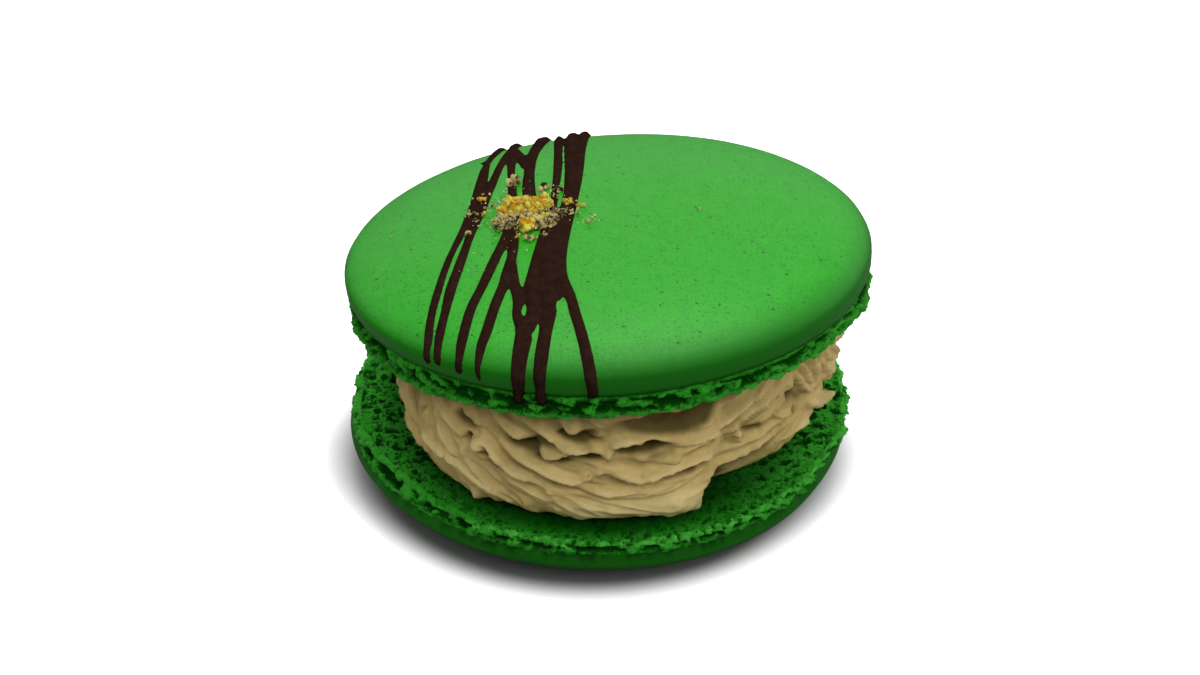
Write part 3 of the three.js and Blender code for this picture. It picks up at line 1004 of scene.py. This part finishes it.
# Each strand on the cap's flat map: (to the right, to the back, half-width) from the back to the front
STRANDS = [
    [(-16.6, 42.2, 0.45), (-17.3, 38.5, 0.7), (-18.3, 31, 0.7), (-19.3, 24, 0.7), (-19.7, 15, 0.9),
     (-20.4, 6, 0.8), (-21.4, 0, 0.6), (-22.5, -6, 0.62), (-23.6, -11, 0.62), (-24.7, -17, 0.62),
     (-25.7, -23, 0.66), (-26.4, -28, 0.7), (-26.7, -30.4, 0.72), (-27.3, -32.5, 0.75)],
    [(-20.6, 25.6, 0.3), (-19.6, 24.4, 0.5), (-19.2, 22, 0.6)],
    [(-14.0, 44.4, 0.5), (-14.4, 41.5, 0.75), (-15.0, 37, 0.75), (-15.6, 31, 0.8), (-16.7, 24, 0.65),
     (-17.8, 13, 0.7), (-19, 4, 0.7), (-20, -2, 0.7), (-20.8, -7, 0.72), (-21.8, -13, 0.82),
     (-22.8, -18.5, 0.85), (-23.8, -25, 0.74), (-24.4, -28.3, 0.74), (-24.9, -31.1, 0.74),
     (-25.4, -33.6, 0.76)],
    [(-15.5, 33, 0.8), (-15.2, 24, 0.65), (-14.8, 14, 0.65), (-14.3, 5.7, 0.8), (-13.8, -5, 0.85),
     (-13.8, -12, 0.8), (-14.4, -16.5, 0.85), (-15.1, -20.7, 0.8), (-16.2, -25.3, 0.85),
     (-17.4, -30.5, 0.88), (-18.3, -33.3, 0.8), (-18.9, -35.9, 0.68), (-19.5, -38.0, 0.45),
     (-19.8, -38.8, 0.3)],
    [(-14.2, -2, 0.8), (-15.3, -8, 0.8), (-16.8, -14.4, 0.85), (-18.3, -20.3, 0.82), (-19.8, -25, 0.85),
     (-20.8, -29.6, 0.88), (-21.4, -32.4, 0.84), (-21.9, -34.9, 0.8), (-22.4, -36.2, 0.72)],
    [(-9.6, 46.2, 0.7), (-9.9, 43.5, 1.1), (-10.5, 38, 1.15), (-11, 32, 1.1), (-11.7, 25, 0.95),
     (-12, 16.5, 0.9), (-11.8, 8, 1.1), (-11, 1, 1.1), (-10.6, -5, 0.9)],
    [(-15.3, 31, 0.85), (-13.8, 25, 0.8), (-12.5, 19, 0.9)],
    [(-7.9, 43.4, 0.4), (-7.9, 41, 0.6), (-7.8, 32, 0.62), (-7.5, 17, 0.7), (-7.7, 8, 0.6),
     (-7.9, 2, 0.55), (-8.2, -4, 0.7)],
    [(-5.0, 46.6, 0.6), (-5.2, 43.5, 0.9), (-5.7, 33, 0.95), (-5.4, 15, 0.82), (-5.8, 3, 0.8),
     (-6.9, -1, 0.85), (-8.8, -6, 0.85), (-9.9, -12.8, 0.85), (-10.5, -17.5, 0.85), (-11, -22.5, 0.95),
     (-10.6, -26, 0.9), (-10.7, -29, 0.95), (-11.1, -32, 0.7)],
    [(-3.4, 44.8, 0.6), (-3.4, 42, 0.9), (-3.7, 33, 0.9), (-4.1, 15, 0.85), (-4.9, 3, 0.8),
     (-5.6, -3.3, 0.9), (-6.4, -12, 0.9), (-6.5, -18.5, 0.9), (-5.9, -22.2, 0.9), (-5.1, -25.4, 0.85),
     (-4.4, -29.4, 0.85), (-3.7, -33, 0.85), (-3.0, -37.2, 0.88), (-2.5, -41.3, 0.9),
     (-2.4, -44.0, 0.85)],
    [(-7.4, -14, 0.8), (-7.2, -20, 0.9), (-7.0, -23.5, 0.6), (-6.6, -26.5, 0.25)],
    [(-6.8, -3, 0.8), (-7.4, -6, 0.95), (-8.2, -12, 1.05), (-8.6, -18, 1.1), (-8.7, -23, 1.25),
     (-8.1, -27, 1.15), (-8.4, -30.4, 1.05), (-8.9, -33.7, 0.98), (-9.4, -37, 1.0), (-10.0, -40.5, 0.95),
     (-10.4, -42.2, 0.75), (-10.8, -43.5, 0.58), (-11.0, -44.4, 0.5)],
    [(-13.9, -15.5, 0.8), (-13.4, -20.5, 0.7), (-12.8, -25, 0.8), (-13.0, -28.5, 0.68),
     (-11.9, -31.8, 1.3), (-12.6, -36.3, 1.2), (-13.2, -39.6, 1.15), (-13.8, -41.3, 1.0),
     (-14.3, -42.2, 0.6), (-14.8, -43.3, 0.42)],
]
DRIZZLE_BOX = (-31.0, 0.5, -48.0, 48.5)  # the part of the flat map that the strands lie in
DRIZZLE_STEP = 0.27  # the grid that they are cut from
DRIZZLE_SINK = 0.3  # how far the chocolate's edge dips into the cap
CAP_LINE_STEPS = 700


def cap_line():
    """The upper cap in section from its middle outwards, and straight down over its edge past the foot."""
    height = UPPER_SEAT.height
    r, foot = UPPER_FORM["radius"], UPPER_FORM["foot"]
    dome = cap_outline(UPPER_FORM, height)[EDGE_STEPS - 1 :][::-1]
    edge = [(r + 0.02, foot + 1.2), (r + 0.1, 0.8 * foot), (r + 0.3, 0.4 * foot), (r + 0.3, -1.0)]
    line = np.vstack([[(0, height)], dome, edge])
    even = np.linspace(0, distance_along(line)[-1], CAP_LINE_STEPS)
    line = even_rows(line, CAP_LINE_STEPS)
    slope = np.gradient(line, even, axis=0)
    normal = np.stack([-slope[:, 1], slope[:, 0]], -1)
    return even, line, normal


CAP_ARC, CAP_LINE, CAP_NORMAL = cap_line()


def on_cap(across, back):
    """A place on the flat map as a point on the cap, and the cap's normal there, in the macaron's frame."""
    reach = np.maximum(np.hypot(across, back), 1e-6)
    way = np.stack([across, back], -1) / reach[..., None]
    radius, height = (np.interp(reach, CAP_ARC, CAP_LINE[:, k]) for k in (0, 1))
    out, up = (np.interp(reach, CAP_ARC, CAP_NORMAL[:, k]) for k in (0, 1))
    point = np.concatenate([way * radius[..., None], height[..., None]], -1)
    normal = np.concatenate([way * out[..., None], up[..., None]], -1)
    return place(point, UPPER_SEAT), normal @ np.array(UPPER_SEAT.turn).T


def piped_chocolate_tree():
    """Lays a fine patch over the cap near the strands: thin at their edges, and full inside them."""
    tree, nodes, given = new_group("Piped chocolate", "GeometryNodeTree", {
        "Geometry": "Geometry",
        "Strands": "Object",
        "Thickness": 0.42,
        "Thicker At Back": 0.4,
        "Sink": DRIZZLE_SINK,
        "Soft Edge": 0.5,
        "Unevenness": 0.1,
        "Material": "Material",
    }, {"Geometry": "Geometry"})
    soft_edge = given["Soft Edge"] * -1.0
    sunk = given["Sink"] * -1.0

    # How many millimetres inside a strand each point is; the patch ends a little outside
    strands = nodes.add("GeometryNodeObjectInfo", {"Object": given["Strands"]})["Geometry"]
    near = nodes.add("GeometryNodeProximity", {"Geometry": strands}, target_element="EDGES")
    sample = {"Geometry": strands, "Sample Position": near["Position"]}
    nearest = nodes.add("GeometryNodeSampleNearest", sample)[0]
    sample = {"Geometry": strands, "Value": nodes.mark("half_width"), "Index": nearest}
    half_width = nodes.add("GeometryNodeSampleIndex", sample, data_type="FLOAT")[0]
    inside = half_width - near["Distance"] / MM
    smoothed = {"Value": inside, "Iterations": 4}
    inside = nodes.add("GeometryNodeBlurAttribute", smoothed, data_type="FLOAT")[0]
    patch = nodes.marked(given["Geometry"], "inside", inside)
    outside = nodes.math("LESS_THAN", nodes.mark("inside"), soft_edge)
    outside = {"Geometry": patch, "Selection": outside}
    patch = nodes.add("GeometryNodeDeleteGeometry", outside, domain="POINT")[0]
    on_rim = nodes.math("LESS_THAN", nodes.add("GeometryNodeInputMeshEdgeNeighbors")[0], 1.5)
    patch = nodes.marked(patch, "rim", on_rim, "EDGE")

    # Sampled while the patch is still flat, so the noise and the back are read from the flat map
    position = nodes.add("GeometryNodeInputPosition")[0]
    to_back = nodes.ramp(nodes.parts(position)[1], 24 * MM, 38 * MM)
    wander = nodes.noise(nodes.here(), 0.35)[0] - 0.5
    thick = given["Thickness"] + to_back * given["Thicker At Back"] + wander * (given["Unevenness"] * 2.0)
    full = nodes.ramp(nodes.mark("inside"), soft_edge, 0.65)
    rise = full * (thick + given["Sink"]) - given["Sink"]
    rise = nodes.blend(nodes.math("GREATER_THAN", nodes.mark("rim"), 0.01), rise, sunk)

    def laid(height):
        """The patch on the cap, so many millimetres above it."""
        offset = nodes.scaled(nodes.mark("cap_normal", "FLOAT_VECTOR"), height * MM)
        spot = nodes.shifted(nodes.mark("cap_point", "FLOAT_VECTOR"), offset)
        return nodes.add("GeometryNodeSetPosition", {"Geometry": patch, "Position": spot})[0]

    under = nodes.add("GeometryNodeFlipFaces", {0: laid(sunk)})[0]
    both = nodes.add("GeometryNodeJoinGeometry", {0: [laid(rise), under]})[0]
    sealed = nodes.add("GeometryNodeMergeByDistance", {"Geometry": both, "Distance": 0.002 * MM})[0]
    nodes.give(Geometry=nodes.made_real(sealed, given["Material"]))
    return tree


def strand_lines():
    """The strands as lines on the flat map, as a mesh of edges marked with their half-widths."""
    points, widths, edges = [], [], []
    for strand in STRANDS:
        line = curve_through(strand, per_span=10)
        first = len(points)
        edges += [(first + k, first + k + 1) for k in range(len(line) - 1)]
        points += [(x, y, 0) for x, y, width in line]
        widths += [width for x, y, width in line]
    return loose_points("strands", points, {"half_width": widths}, edges)


def make_drizzle(tree, material):
    left, right, front, rear = DRIZZLE_BOX
    across, back = np.meshgrid(np.arange(left, right, DRIZZLE_STEP), np.arange(front, rear, DRIZZLE_STEP))
    index = np.arange(across.size).reshape(across.shape)
    quads = np.stack([index[:-1, :-1], index[:-1, 1:], index[1:, 1:], index[1:, :-1]], -1).reshape(-1, 4)
    patch = mesh_from("drizzle", np.stack([across, back, 0 * across], -1).reshape(-1, 3), quads)
    point, normal = on_cap(across, back)
    mark_points(patch, {"cap_point": point * MM, "cap_normal": normal}, "FLOAT_VECTOR")
    strands = plain_object("strands", strand_lines())
    drizzle = grown("drizzle", patch, tree, strands=strands, material=material)
    bpy.data.objects.remove(strands)
    return drizzle


CHOCOLATE = (0.020, 0.0085, 0.0055, 1)
CHOCOLATE_DULL = (0.027, 0.0125, 0.0088, 1)


def chocolate_material():
    material, nodes, shader, at = new_material("dark_chocolate", 0.55, 0.0)
    mottle = nodes.use(GRAIN, vector=at, size=1.6)
    base = nodes.mix(nodes.ramp(mottle["Tone"], 0.4, 0.62), CHOCOLATE, CHOCOLATE_DULL)
    finish_surface(nodes, shader, base, mottle["Height"], 0.06)
    return material


# ---------------------------------------------------------------- crumbs

# Heaps on the flat map: to the right, to the back, half-width, half-depth, height, how many, and the
# smallest and largest radius
YELLOW_HEAPS = [
    (-12.3, 1.4, 3.9, 2.0, 1.7, 150, 0.2, 0.6), (-14.0, 1.2, 2.2, 1.6, 2.0, 50, 0.3, 0.7),
    (-9.9, 1.6, 1.8, 1.6, 2.0, 46, 0.25, 0.7), (-11.9, -5.2, 1.3, 1.2, 1.2, 14, 0.4, 0.85),
    (-10.0, -3.6, 0.8, 1.2, 1.2, 12, 0.25, 0.55), (-9.2, -1.5, 0.9, 0.6, 0.6, 7, 0.2, 0.4),
    (-13.0, -8.0, 0.4, 0.3, 0.3, 3, 0.3, 0.45), (-5.8, 2.1, 0.8, 0.6, 0.6, 9, 0.25, 0.55),
    (-3.8, 1.1, 0.8, 0.4, 0.3, 6, 0.2, 0.4), (-19.0, 6.4, 0.5, 0.6, 0.5, 6, 0.25, 0.5),
    (-18.2, 1.2, 0.5, 0.4, 0.3, 4, 0.2, 0.4),
]
BROWN_HEAPS = [
    (-15.6, -3.4, 1.7, 1.8, 1.3, 46, 0.2, 0.55), (-9.0, -4.6, 1.9, 1.3, 1.2, 40, 0.22, 0.55),
    (-6.8, -1.4, 1.8, 1.3, 0.9, 34, 0.18, 0.42), (-12.2, -3.0, 2.8, 1.7, 1.0, 60, 0.18, 0.5),
    (-14.2, 12.0, 0.9, 1.4, 0.5, 14, 0.4, 0.7), (-9.5, 8.6, 0.7, 1.1, 0.5, 11, 0.25, 0.5),
    (-7.0, 7.6, 0.6, 0.5, 0.3, 7, 0.18, 0.4), (-20.8, 1.7, 0.9, 0.3, 0.2, 7, 0.2, 0.42),
    (-20.8, -4.8, 0.5, 0.3, 0.2, 5, 0.25, 0.45), (-11.3, -8.7, 0.8, 0.6, 0.6, 10, 0.25, 0.5),
    (-9.0, -8.0, 0.4, 0.3, 0.2, 4, 0.2, 0.35), (-17.2, 3.6, 0.4, 0.3, 0.2, 3, 0.15, 0.3),
    (-19.4, -1.2, 0.3, 0.2, 0.1, 3, 0.2, 0.35), (-2.6, -4.6, 0.3, 0.2, 0.1, 3, 0.2, 0.3),
    (-4.4, -1.8, 1.0, 0.6, 0.2, 9, 0.12, 0.28), (-15.6, 5.6, 0.3, 0.2, 0.1, 2, 0.2, 0.3),
]
YELLOW_GRAINS = [
    (-12.2, 1.4, 4.2, 2.3, 2.3, 330, 0.06, 0.16), (-11.9, -5.2, 1.6, 1.5, 1.6, 50, 0.06, 0.15),
    (-9.8, -3.8, 1.4, 1.4, 1.3, 40, 0.06, 0.14), (-5.8, 2.1, 1.0, 0.8, 0.8, 18, 0.06, 0.14),
]
DUST_PATCHES = [
    (-12.0, -2.0, 5.2, 4.2, 1.0, 320, 0.07, 0.2), (-11.5, 1.0, 7.5, 6.0, 0.1, 76, 0.07, 0.19),
    (-15.6, -3.4, 2.0, 2.0, 1.4, 80, 0.07, 0.19), (-9.0, -4.6, 2.2, 1.5, 1.3, 80, 0.07, 0.19),
    (-6.8, -1.4, 2.2, 1.6, 0.9, 60, 0.07, 0.19), (-17.0, 3.5, 2.2, 3.5, 0.1, 22, 0.09, 0.24),
    (-8.5, 7.0, 2.0, 3.0, 0.1, 26, 0.08, 0.2), (-2.2, -4.2, 1.8, 1.6, 0.05, 10, 0.09, 0.2),
    (-19.5, 1.0, 2.0, 5.0, 0.1, 20, 0.08, 0.2), (-19.0, 3.0, 3.0, 6.0, 0.05, 20, 0.14, 0.28),
    (-4.0, -1.0, 3.0, 4.0, 0.05, 16, 0.12, 0.24), (-12.0, -7.5, 5.0, 2.5, 0.05, 26, 0.1, 0.22),
    (-12.0, 8.0, 4.0, 4.0, 0.05, 24, 0.1, 0.22), (-11.7, -12.3, 0.3, 0.2, 0.05, 2, 0.14, 0.22),
    (-17.0, -14.0, 5.0, 6.0, 0.05, 12, 0.07, 0.15), (13, -7.7, 0.2, 0.2, 0, 1, 0.17, 0.2),
    (14.5, -1.8, 0.3, 0.2, 0, 2, 0.15, 0.2), (-35.3, 4, 0.2, 0.2, 0, 1, 0.18, 0.2),
    (-33.5, 0.1, 0.2, 0.2, 0, 1, 0.15, 0.17), (-34, -9.7, 0.2, 0.2, 0, 1, 0.15, 0.18),
]
CRUMBS_LIFT = 0.25  # the crumbs lie partly on the chocolate


def heaped_points(name, heaps, seed):
    """Points for crumbs, piled highest in the middle of each heap, with their sizes and a tone for each."""
    random = np.random.default_rng(seed)
    places, sizes = [], []
    for across, back, half_width, half_depth, height, count, smallest, largest in heaps:
        turn = random.uniform(0, 2 * np.pi, count)
        reach = np.sqrt(random.uniform(0, 1, count))
        aside, behind = half_width * reach * np.cos(turn), half_depth * reach * np.sin(turn)
        spot, normal = on_cap(across + aside, back + behind)
        size = smallest + (largest - smallest) * random.uniform(0, 1, count) ** 1.7
        lift = CRUMBS_LIFT + 0.4 * size + height * (1 - reach**2) * random.uniform(0.2, 1, count)
        places.append(spot + normal * lift[:, None])
        sizes.append(size)
    sizes = np.concatenate(sizes)
    tones = random.uniform(0, 1, len(sizes))
    return loose_points(name, np.concatenate(places), {"size": sizes, "tone": tones})


def crumb_scatter_tree():
    """Puts a rough lump at each point, turned and stretched at random."""
    tree, nodes, given = new_group("Scattered crumbs", "GeometryNodeTree", {
        "Geometry": "Geometry",
        "Fineness": 2,
        "Roughness": 1.1,
        "Flattest": 0.6,
        "Seed": 3,
        "Material": "Material",
    }, {"Geometry": "Geometry"})

    def at_random(low, high):
        inputs = {"Min": low, "Max": high, "Seed": given["Seed"]}
        return nodes.add("FunctionNodeRandomValue", inputs, data_type="FLOAT_VECTOR")[0]

    size = nodes.mark("size")
    ball = nodes.add("GeometryNodeMeshIcoSphere", {"Radius": MM, "Subdivisions": given["Fineness"]})[0]
    flattest = nodes.add("ShaderNodeCombineXYZ", dict.fromkeys(range(3), given["Flattest"]))[0]
    lumps = nodes.add("GeometryNodeInstanceOnPoints", {
        "Points": given["Geometry"],
        "Instance": ball,
        "Rotation": at_random((0, 0, 0), (math.tau, math.tau, math.tau)),
        "Scale": nodes.scaled(at_random(flattest, (1.25, 1.25, 1.25)), size),
    })[0]
    lumps = nodes.add("GeometryNodeRealizeInstances", {0: lumps})[0]
    relative = nodes.scaled(nodes.here(), 1.1 / size)
    broad = nodes.noise(relative, 1.0, 3, 0.6)[0] - 0.5
    facets = nodes.cells(relative, 1.5)["Distance"] - 0.45
    rise = (broad * 1.5 + facets * -0.7) * given["Roughness"] * (size * MM)
    nodes.give(Geometry=nodes.made_real(nodes.raised(lumps, rise), given["Material"]))
    return tree


def crumb_material(name, darker, lighter):
    material, nodes, shader, at = new_material(name, 0.8, 0.25)
    fine = nodes.use(GRAIN, vector=at, size=0.3)
    share = nodes.mark("tone") * 0.6 + (fine["Tone"] - 0.3) * 1.2
    base = nodes.mix(nodes.ramp(share, 0.27, 0.77), darker, lighter)
    finish_surface(nodes, shader, base, fine["Height"], 0.3)
    return material


# ---------------------------------------------------------------- build

relief = crumb_relief_tree()
meringue = {"material": cap_material(), "crumb_material": crumb_surface_material()}
lower_shell = make_shell("lower_meringue", LOWER_FORM, LOWER_SEAT, relief, meringue, flip=True)
upper_shell = make_shell("upper_meringue", UPPER_FORM, UPPER_SEAT, relief, meringue, flip=False)
cream = make_cream(cream_ripple_tree(), cream_material())
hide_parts("cream_filling")
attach(cream, "root")
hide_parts("lower_shell")
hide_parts("upper_shell")
for piece in (lower_shell, upper_shell):
    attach(piece, "root")

drizzle = make_drizzle(piped_chocolate_tree(), chocolate_material())
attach(drizzle, "root")

# Name, heaps, seed, fineness, and the darkest and lightest colour
CRUMB_KINDS = [
    ("yellow_crumbs", YELLOW_HEAPS, 5, 2, (0.72, 0.40, 0.008, 1), (1.0, 0.85, 0.13, 1)),
    ("yellow_grains", YELLOW_GRAINS, 6, 1, (0.85, 0.58, 0.06, 1), (1.0, 0.86, 0.34, 1)),
    ("brown_crumbs", BROWN_HEAPS, 8, 2, (0.03, 0.021, 0.006, 1), (0.80, 0.65, 0.26, 1)),
    ("fine_dust", DUST_PATCHES, 13, 1, (0.50, 0.42, 0.13, 1), (0.95, 0.86, 0.42, 1)),
]
scatter = crumb_scatter_tree()
for name, heaps, seed, fineness, darker, lighter in CRUMB_KINDS:
    points = heaped_points(name, heaps, seed)
    material = crumb_material(name, darker, lighter)
    crumbs = grown(name, points, scatter, fineness=fineness, seed=seed, material=material)
    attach(crumbs, "root")


# ---------------------------------------------------------------- floor, sky and lights

FLOOR_REACH = 3.0  # in metres
FLOOR_MIDDLE = (-1.5, 1.2, 0)  # the middle of the shade
FLOOR_SHADE = (34.8, 41.4)  # the floor goes from shade to white between these distances from there
SHADE_SOFTER = 1.1  # how much softer its edge is at the left and the right
FLOOR_GLOW = 0.7
FLOOR_IN_SHADE = (0.2, 0.2, 0.2, 1)
FLOOR_MIRRORED = (0.14, 0.14, 0.14, 1)
FLOOR_WHITE = (0.97, 0.97, 0.97, 1)


def make_floor():
    """A plain white floor, in shade underneath the macaron. It throws back less light than it shows."""
    material, nodes, shader, at = new_material("white_floor", 1.0, 0.0)
    at = nodes.stretched(at, (1, 1, 0))
    at = nodes.shifted(at, tuple(-part for part in FLOOR_MIDDLE))
    away = nodes.vector_math("LENGTH", at)["Value"]
    sideways = nodes.math("POWER", nodes.math("ABSOLUTE", nodes.parts(at)[0] / away), 8)
    shade, white_from = FLOOR_SHADE
    lit = (away - shade) / ((sideways * SHADE_SOFTER + 1.0) * (white_from - shade))
    path = nodes.add("ShaderNodeLightPath")
    shown = nodes.mix(nodes.ramp(lit, 0.0, 1.0), FLOOR_IN_SHADE, FLOOR_WHITE)
    thrown_back = nodes.mix(path["Is Glossy Ray"], FLOOR_IN_SHADE, FLOOR_MIRRORED)
    nodes.feed(shader.inputs["Base Color"], nodes.mix(path["Is Camera Ray"], thrown_back, shown))
    glow = path["Is Camera Ray"] * nodes.ramp(lit, 0.0, 1.0, 0.0, FLOOR_GLOW)
    nodes.feed(shader.inputs["Emission Strength"], glow)
    nodes.feed(shader.inputs["Emission Color"], WHITE)
    far = FLOOR_REACH / MM
    corners = [(-far, -far, 0), (far, -far, 0), (far, far, 0), (-far, far, 0)]
    mesh = mesh_from("floor", corners, [(0, 1, 2, 3)])
    mesh.materials.append(material)
    plain_object("floor", mesh)


SKY_LOW, SKY_HIGH = 0.05, 0.9
SKY_DARK, SKY_BRIGHT = 0.03, 0.6
SKY_TILT = (0.1, 0.5, 0.85)  # the sky is brightest high at the back


def make_world():
    """A soft pale sky, dark along the horizon. The camera sees plain white instead."""
    world = bpy.data.worlds.new("studio")
    world.use_nodes = True
    bpy.context.scene.world = world
    nodes = Nodes(world.node_tree)
    background = world.node_tree.nodes["Background"]
    way = nodes.add("ShaderNodeTexCoord")["Generated"]
    height = nodes.vector_math("DOT_PRODUCT", way, SKY_TILT)["Value"]
    sky = nodes.ramp(height, SKY_LOW, SKY_HIGH, SKY_DARK, SKY_BRIGHT)
    mirrored = nodes.ramp(height, 0.3, 0.55, 0.05, 1.0) * nodes.ramp(height, 0.6, 0.9, 0.95, 0.42)
    path = nodes.add("ShaderNodeLightPath")
    strength = nodes.blend(path["Is Glossy Ray"], sky, mirrored)
    strength = nodes.blend(path["Is Camera Ray"], strength, 1.0)
    nodes.feed(background.inputs["Color"], WHITE)
    nodes.feed(background.inputs["Strength"], strength)


def make_area_light(name, place, aim, size, power, mirrored=False):
    data = bpy.data.lights.new(name, "AREA")
    data.shape = "RECTANGLE"
    data.size, data.size_y = size
    data.energy = power
    light = bpy.data.objects.new(name, data)
    light.location = place
    light.rotation_euler = (Vector(aim) - Vector(place)).to_track_quat("-Z", "Y").to_euler()
    light.visible_glossy = mirrored
    bpy.context.scene.collection.objects.link(light)


make_floor()
make_world()
make_area_light("key", (0.02, 0.27, 0.69), (0, 0, 0.03), (0.4, 0.2), 2.75, mirrored=True)
make_area_light("fill", (0.0, -0.56, 0.56), (0, 0, 0.02), (1.0, 0.25), 2.75)
make_area_light("side", (0.7, -0.3, 0.27), (0, 0, 0.02), (0.4, 0.4), 1.85)
make_area_light("left", (-0.7, -0.3, 0.2), (0, 0, 0.02), (0.4, 0.4), 0.5)
bpy.context.scene.view_settings.view_transform = "Standard"
